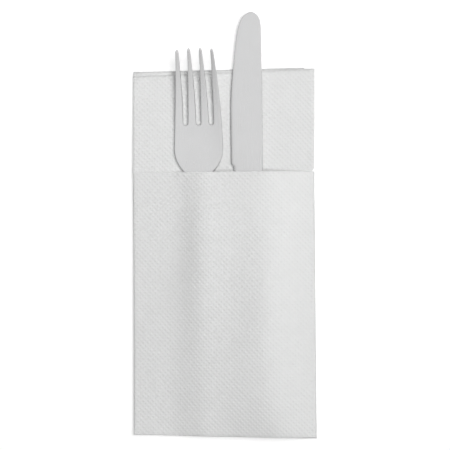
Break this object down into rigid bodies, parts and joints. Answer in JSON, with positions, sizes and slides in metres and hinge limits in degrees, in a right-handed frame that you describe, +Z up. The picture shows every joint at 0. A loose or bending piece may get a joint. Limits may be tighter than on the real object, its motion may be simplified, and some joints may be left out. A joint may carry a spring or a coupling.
{
  "type": "cutlery pouch napkin",
  "caption": "White embossed paper napkin folded into an upright pouch, lying flat with a table fork and a table knife resting in its mouth.",
  "frame": {"origin": "middle of the folded napkin's underside, on the surface it lies on", "axes": "+X across the pouch to its right fold, +Y from the folded foot to the open top, +Z up off the table"},
  "size_m": [0.102, 0.2311, 0.0154],
  "materials": {
    "paper": "matte",
    "fork_steel": "satin",
    "knife_steel": "satin"
  },
  "bodies": {
    "root": {"napkin": "paper", "fork": "fork_steel", "knife": "knife_steel"}
  },
  "joints": []
}
